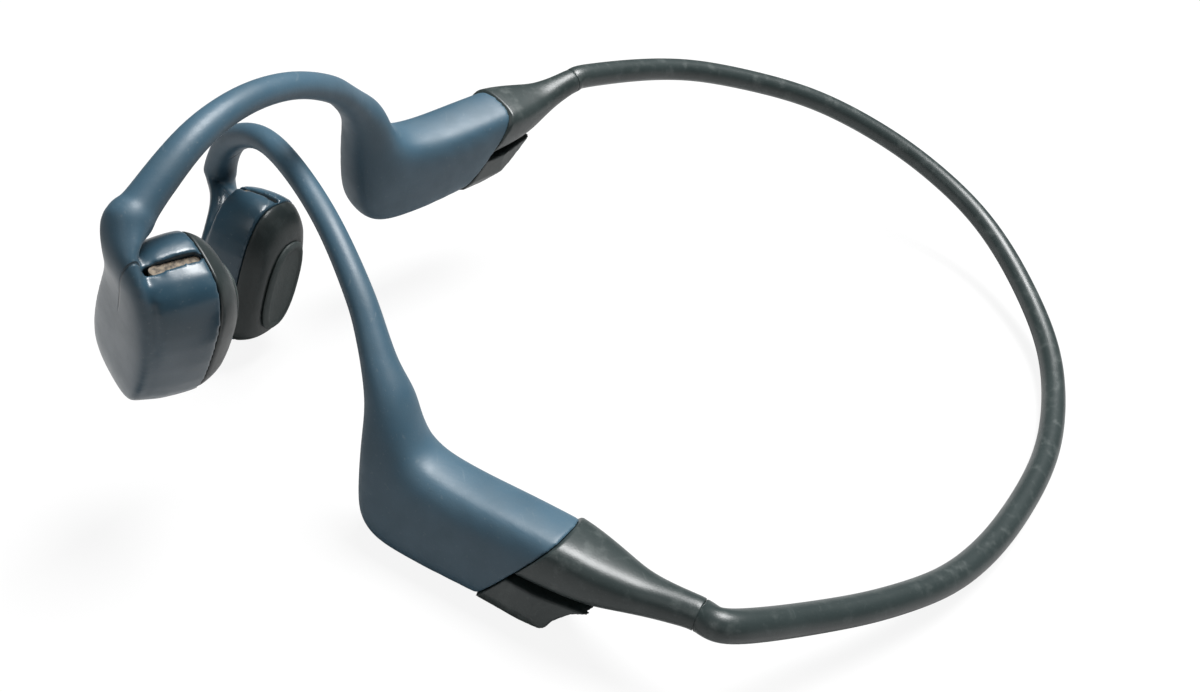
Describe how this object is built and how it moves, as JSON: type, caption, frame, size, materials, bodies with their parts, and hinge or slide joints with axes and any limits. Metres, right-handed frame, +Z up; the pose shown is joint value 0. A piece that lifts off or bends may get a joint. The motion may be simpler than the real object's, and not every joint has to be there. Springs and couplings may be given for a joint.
{
  "type": "bone conduction headphones",
  "caption": "Open-ear bone conduction headphones: sprung neckband, pods, ear hooks and transducers with pads, lying with the arms crossed.",
  "frame": {"origin": "middle of the headset's footprint, on the surface it lies on", "axes": "+X to the wearer's left, +Y to the back of the neckband, +Z up"},
  "size_m": [0.1115, 0.1494, 0.0479],
  "materials": {
    "blue_skin": "satin moulded silicone, lightly worn",
    "blue_shell": "smooth semi-gloss with fine scuffs",
    "dark_rubber": "satin, rubbed paler on top",
    "pad_rubber": "soft satin",
    "pad_face": "fine matt texture",
    "titanium": "drawn wire",
    "mesh": "fine dusty acoustic mesh",
    "copper": "enamelled winding",
    "circuit_board": "solder mask",
    "black_plastic": "moulded",
    "contact_gold": "plated, polished",
    "steel": "plain"
  },
  "bodies": {
    "neckband": {"neckband_sleeve": "dark_rubber", "neckband_wire": "titanium"},
    "left_arm": {"left_arm_sleeve": "blue_skin", "left_hook_wire": "titanium", "left_boot": "dark_rubber", "left_link_wire": "titanium", "left_wedge_cover": "dark_rubber", "left_pod_frame": "black_plastic", "battery_cell": "steel", "battery_lead_board": "circuit_board", "left_transducer_cover": "blue_skin", "left_transducer_shell": "blue_shell", "left_slot_mesh": "mesh", "left_pad_cup": "pad_rubber", "left_pad_face": "pad_face", "left_spring_plate": "steel", "left_voice_coil": "copper", "left_magnet": "steel", "left_yoke": "steel", "left_microphone": "steel", "multifunction_switch": "steel", "volume_up_switch": "steel", "volume_down_switch": "steel", "charging_pin_left": "contact_gold", "charging_pin_right": "contact_gold", "charging_magnet": "steel"},
    "multifunction_button": {"multifunction_button": "blue_shell"},
    "volume_up_button": {"volume_up_button": "dark_rubber"},
    "volume_down_button": {"volume_down_button": "dark_rubber"},
    "right_arm": {"right_arm_sleeve": "blue_skin", "right_hook_wire": "titanium", "right_boot": "dark_rubber", "right_link_wire": "titanium", "right_wedge_cover": "dark_rubber", "right_pod_frame": "black_plastic", "main_board": "circuit_board", "main_chip": "black_plastic", "antenna_plate": "steel", "right_transducer_cover": "blue_skin", "right_transducer_shell": "blue_shell", "right_slot_mesh": "mesh", "right_pad_cup": "pad_rubber", "right_pad_face": "pad_face", "right_spring_plate": "steel", "right_voice_coil": "copper", "right_magnet": "steel", "right_yoke": "steel", "right_microphone": "steel"}
  },
  "joints": [
    {"name": "left_flex", "type": "hinge", "parent": "neckband", "child": "left_arm", "pos_m": [0.05169, -0.01356, 0.01191], "axis": [0, 0, 1], "range_deg": [0, 8], "stiffness_Nm_per_rad": 0.05, "deforming": ["left_boot", "left_link_wire"]},
    {"name": "right_flex", "type": "hinge", "parent": "neckband", "child": "right_arm", "pos_m": [-0.0369, -0.01324, 0.02936], "axis": [0, 0, -1], "range_deg": [0, 25], "stiffness_Nm_per_rad": 0.05, "deforming": ["right_boot", "right_link_wire"]},
    {"name": "multifunction_press", "type": "slide", "parent": "left_arm", "child": "multifunction_button", "axis": [0.5552, 0.8258, -0.0988], "range_m": [0, 0.0003], "stiffness_N_per_m": 2000},
    {"name": "volume_up_press", "type": "slide", "parent": "left_arm", "child": "volume_up_button", "axis": [-0.1498, 0.092, 0.9844], "range_m": [0, 0.0003], "stiffness_N_per_m": 2000},
    {"name": "volume_down_press", "type": "slide", "parent": "left_arm", "child": "volume_down_button", "axis": [-0.1498, 0.092, 0.9844], "range_m": [0, 0.0003], "stiffness_N_per_m": 2000}
  ]
}
